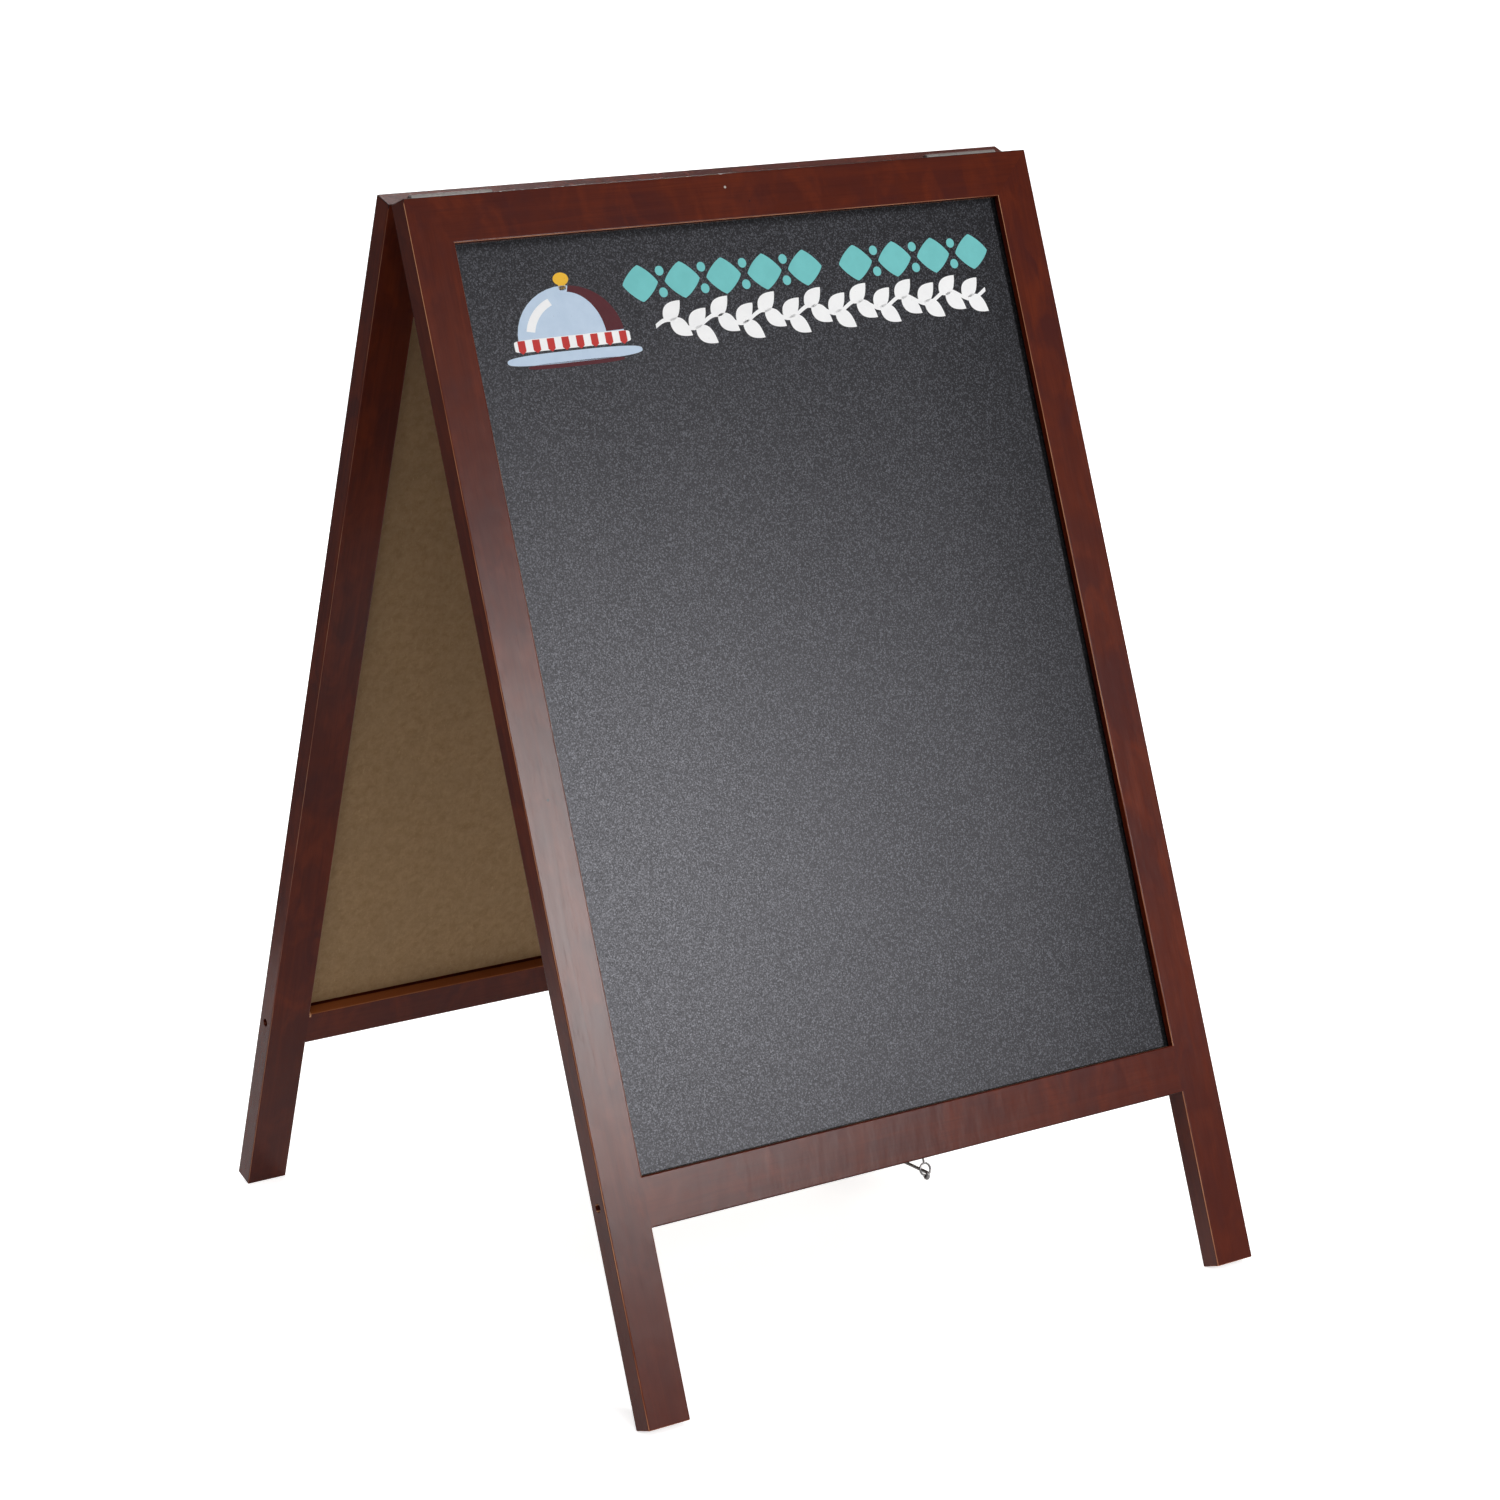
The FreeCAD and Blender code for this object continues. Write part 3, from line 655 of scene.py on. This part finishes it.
def served_dish():
    """Covered serving dish in flat colours."""
    pale = print_ink("ink_pale_blue", rgb(196, 214, 234), rgb(184, 204, 226))
    white = bpy.data.materials["ink_white"]
    red = print_ink("ink_red", rgb(196, 48, 44), rgb(184, 42, 40))
    maroon = print_ink("ink_maroon", rgb(84, 18, 30), rgb(74, 16, 26))
    yellow = print_ink("ink_yellow", rgb(244, 190, 50), rgb(236, 180, 44))
    dome = arc(DISH_X, DOME_DOWN, DOME_WIDE, DOME_TALL, 0.0, 180.0)
    shade = dome_band((1.0, 1.0), (0.66, 0.88), 4.0, 84.0)
    gleam = dome_band((0.84, 0.84), (0.68, 0.7), 112.0, 166.0)
    stripes = [dish_stripe(DISH_X - 45.0 + STRIPE_STEP * step) for step in range(STRIPES)]
    printed("dish_dome", [dome], 1, pale)
    printed("dish_shade", [shade], 2, maroon)
    printed("dish_gleam", [gleam], 2, white)
    printed("dish_band", [blob(DISH_X, DISH_DOWN - 3.5, 48.0, 4.5, 8.0)], 3, white)
    printed("dish_stripes", stripes, 4, red)
    printed("dish_plate", [blob(DISH_X, DISH_DOWN + 7.0, 56.0, 4.2, 3.0)], 1, pale)
    printed("dish_plate_shade", [blob(DISH_X, DISH_DOWN + 12.2, 40.0, 2.0, 3.0)], 1, maroon)
    printed("dish_knob", [blob(DISH_X, 65.2, 6.4, 4.6)], 2, yellow)
    printed("dish_neck", [blob(DISH_X, 70.5, 3.0, 3.0, 4.0)], 1, yellow)


def heading():
    lozenge_row()
    leaf_garland()
    served_dish()


# ---- studio -----------------------------------------------------------------------------
PAPER = (0.93, 0.93, 0.93, 1.0)
WHITE = (1.0, 1.0, 1.0, 1.0)
FLOOR_REACH = 60.0              # metres, from here down to the camera
WALL_TOP = 60.0
PATCH_REACH = 1.0
PATCH_HEIGHT = -0.0002
SHEET_STEPS = 96
BOX_DISTANCE = 3.0
BOX_WIDTH = 0.49
BOX_HEIGHT = 0.71
BOX_AIM_HEIGHT = 0.35
SUN_SPREAD = 30.0               # degrees across
WORLD_STRENGTH = 0.185


def direction_to(azimuth, elevation):
    """Unit vector from the easel; azimuth 0 stands in front of it and 90 to its right."""
    turn, rise = math.radians(azimuth), math.radians(elevation)
    return Vector((math.sin(turn) * math.cos(rise), -math.cos(turn) * math.cos(rise),
                   math.sin(rise)))


def softbox(name, azimuth, elevation, board_y, power):
    """Upright rectangular lamp that faces the middle of the board at board_y."""
    lamp = bpy.data.lights.new(name, "AREA")
    lamp.shape = "RECTANGLE"
    lamp.size = BOX_WIDTH
    lamp.size_y = BOX_HEIGHT
    lamp.energy = power
    outward = direction_to(azimuth, elevation)
    holder = bpy.data.objects.new(name, lamp)
    holder.location = Vector((0.0, board_y, BOX_AIM_HEIGHT)) + outward * BOX_DISTANCE
    holder.rotation_euler = (-outward).to_track_quat("-Z", "Y").to_euler()
    bpy.context.scene.collection.objects.link(holder)


def soft_sun(name, azimuth, elevation, strength):
    """Broad far-off light."""
    lamp = bpy.data.lights.new(name, "SUN")
    lamp.energy = strength
    lamp.angle = math.radians(SUN_SPREAD)
    holder = bpy.data.objects.new(name, lamp)
    outward = direction_to(azimuth, elevation)
    holder.rotation_euler = (-outward).to_track_quat("-Z", "Y").to_euler()
    bpy.context.scene.collection.objects.link(holder)


def paper(name, glow):
    """Matte white paper with a glow of its own."""
    g = Graph(name)
    g.set_shader(Base_Color=PAPER, Roughness=0.9, Specular_IOR_Level=0.1)
    g.set_shader(Emission_Color=WHITE, Emission_Strength=glow)
    return g.material


def studio_sheet(name, profile, material):
    """Sheet of paper: a profile of (radius, height) points turned round the Z axis."""
    steps = SHEET_STEPS
    turns = [2 * math.pi * step / steps for step in range(steps)]
    shape = bmesh.new()
    rims = []
    for radius, height in profile:
        if radius == 0:
            rims.append([shape.verts.new((0.0, 0.0, height))] * steps)
            continue
        rims.append([shape.verts.new((radius * math.cos(t), radius * math.sin(t), height))
                     for t in turns])
    for near, far in zip(rims, rims[1:]):
        for step in range(steps):
            after = (step + 1) % steps
            corners = [near[step], near[after], far[after], far[step]]
            shape.faces.new(list(dict.fromkeys(corners)))
    mesh = bpy.data.meshes.new(name)
    shape.to_mesh(mesh)
    shape.free()
    mesh.materials.append(material)
    sheet = bpy.data.objects.new(name, mesh)
    bpy.context.scene.collection.objects.link(sheet)
    return sheet


def floor():
    """White paper in two layers: a wide one is seen, and a dim patch below it lights the easel.

    The wide one turns up into a wall at its rim, so that low views have no dark horizon.
    """
    with_wall = [(0.0, 0.0), (FLOOR_REACH, 0.0), (FLOOR_REACH, WALL_TOP)]
    seen = studio_sheet("floor", with_wall, paper("floor_paper", 0.70))
    seen.visible_diffuse = False
    seen.visible_glossy = False
    seen.visible_shadow = False
    patch = [(0.0, PATCH_HEIGHT), (PATCH_REACH, PATCH_HEIGHT)]
    lighting = studio_sheet("floor_bounce", patch, paper("floor_bounce", 0.19))
    lighting.visible_camera = False


def studio():
    """Floor, pale surroundings, four broad suns and a softbox for each writing face."""
    world = bpy.data.worlds.new("studio")
    world.use_nodes = True
    background = world.node_tree.nodes["Background"]
    background.inputs["Color"].default_value = WHITE
    background.inputs["Strength"].default_value = WORLD_STRENGTH
    bpy.context.scene.world = world
    bpy.context.scene.view_settings.view_transform = "Standard"
    floor()
    soft_sun("back", 159.0, 49.0, 0.95)
    soft_sun("key", -20.0, 50.0, 0.80)
    soft_sun("left_fill", -90.0, 30.0, 0.30)
    soft_sun("top", 0.0, 80.0, 0.24)
    softbox("front_box", 26.0, 17.2, -0.17, 42.0)
    softbox("rear_box", 148.0, 17.2, 0.17, 30.0)


# ---- camera -----------------------------------------------------------------------------
CAMERA_PLACE = (-1.56476, -2.35066, 1.10559)
CAMERA_TURN = (34.069, 14.393, -0.593)          # yaw, downward pitch and roll, degrees
CAMERA_SENSOR = 36.0
CAMERA_LENS = 91.861
CAMERA_REACH = 200.0


def camera():
    """Camera at the left of the easel, a little above it."""
    yaw, pitch, roll = (math.radians(angle) for angle in CAMERA_TURN)
    forward = Vector((math.sin(yaw) * math.cos(pitch), math.cos(yaw) * math.cos(pitch),
                      -math.sin(pitch)))
    level = Vector((math.cos(yaw), -math.sin(yaw), 0.0))
    upright = level.cross(forward)
    right = level * math.cos(roll) + upright * math.sin(roll)
    up = upright * math.cos(roll) - level * math.sin(roll)
    lens = bpy.data.cameras.new("camera")
    lens.sensor_width = CAMERA_SENSOR
    lens.lens = CAMERA_LENS
    lens.clip_end = CAMERA_REACH
    holder = bpy.data.objects.new("camera", lens)
    axes = Matrix((right, up, -forward)).transposed()
    holder.matrix_world = Matrix.Translation(CAMERA_PLACE) @ axes.to_4x4()
    bpy.context.scene.collection.objects.link(holder)
    bpy.context.scene.camera = holder


dress_cad()
heading()
studio()
camera()
